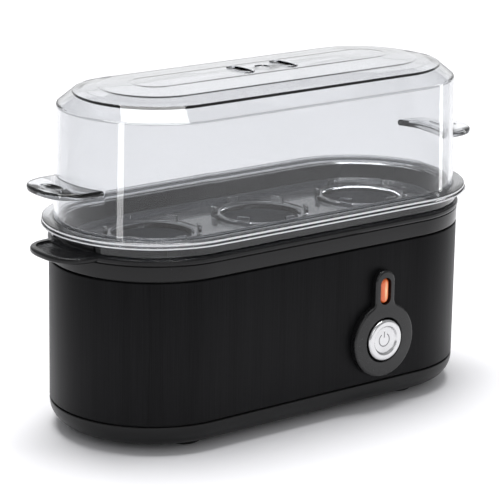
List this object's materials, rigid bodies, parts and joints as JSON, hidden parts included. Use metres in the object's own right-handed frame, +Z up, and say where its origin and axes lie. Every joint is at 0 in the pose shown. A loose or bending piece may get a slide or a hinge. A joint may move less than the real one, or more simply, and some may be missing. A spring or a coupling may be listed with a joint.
{
  "type": "egg cooker",
  "caption": "Oblong steam egg cooker: brushed black sleeve between black mouldings, push-button panel, heated water dish, clear egg tray and clear lid with end grips.",
  "frame": {"origin": "on the table, under the middle of the long body (bottom centre of the bounding box)", "axes": "+X along the length to the right of someone facing the controls, -Y out of the control face, +Z up"},
  "size_m": [0.201, 0.0836, 0.1307],
  "materials": {
    "satin_black": "satin",
    "brushed_black": "brushed lengthwise, dark",
    "dish_coating": "smooth non-stick coating",
    "clear_plastic": "clear, glossy",
    "black_rubber": "matte",
    "gland_nylon": "matte",
    "silver": "silver plated, satin",
    "fuse_silver": "plain",
    "plated_steel": "zinc plated",
    "heater_sheath": "dull sheath",
    "brass": "plain",
    "ceramic": "matt white",
    "amber_lens": "tinted, translucent",
    "lamp_glass": "clear",
    "silicone": "matte",
    "brown_wire": "satin",
    "blue_wire": "satin",
    "green_wire": "satin"
  },
  "bodies": {
    "base": {"button_spring": "plated_steel", "case_screw_left_front": "plated_steel", "case_screw_left_rear": "plated_steel", "case_screw_right_front": "plated_steel", "case_screw_right_rear": "plated_steel", "clamp_bar_left": "plated_steel", "clamp_bar_right": "plated_steel", "clamp_nut_left": "brass", "clamp_nut_right": "brass", "control_bezel": "satin_black", "cord_gland": "black_rubber", "dish_gasket": "silicone", "earth_tab": "brass", "element_terminal_front": "ceramic", "element_terminal_rear": "ceramic", "foot_left_front": "black_rubber", "foot_left_rear": "black_rubber", "foot_right_front": "black_rubber", "foot_right_rear": "black_rubber", "gland_nut": "gland_nylon", "heating_dish": "dish_coating", "heating_element": "heater_sheath", "indicator_lens": "amber_lens", "lamp_holder": "gland_nylon", "lower_shell": "satin_black", "neon_lamp": "lamp_glass", "outer_sleeve": "brushed_black", "switch_body": "gland_nylon", "terminal_block": "ceramic", "thermal_fuse": "fuse_silver", "thermostat": "ceramic", "upper_ring": "satin_black", "wire_earth": "green_wire", "wire_heater": "brown_wire", "wire_lamp": "brown_wire", "wire_lamp_neutral": "blue_wire", "wire_link": "brown_wire", "wire_live": "brown_wire", "wire_neutral": "blue_wire"},
    "tray": {"egg_tray": "clear_plastic"},
    "lid": {"lid": "clear_plastic"},
    "button": {"power_button": "silver"}
  },
  "joints": [
    {"name": "tray_lift", "type": "slide", "parent": "base", "child": "tray", "axis": [0, 0, 1], "range_m": [0, 0.06]},
    {"name": "lid_lift", "type": "slide", "parent": "tray", "child": "lid", "axis": [0, 0, 1], "range_m": [0, 0.1]},
    {"name": "button_press", "type": "slide", "parent": "base", "child": "button", "axis": [0, 1, 0], "range_m": [0, 0.0025], "stiffness_N_per_m": 400, "springref_m": -0.002, "deforming": ["button_spring"]}
  ]
}
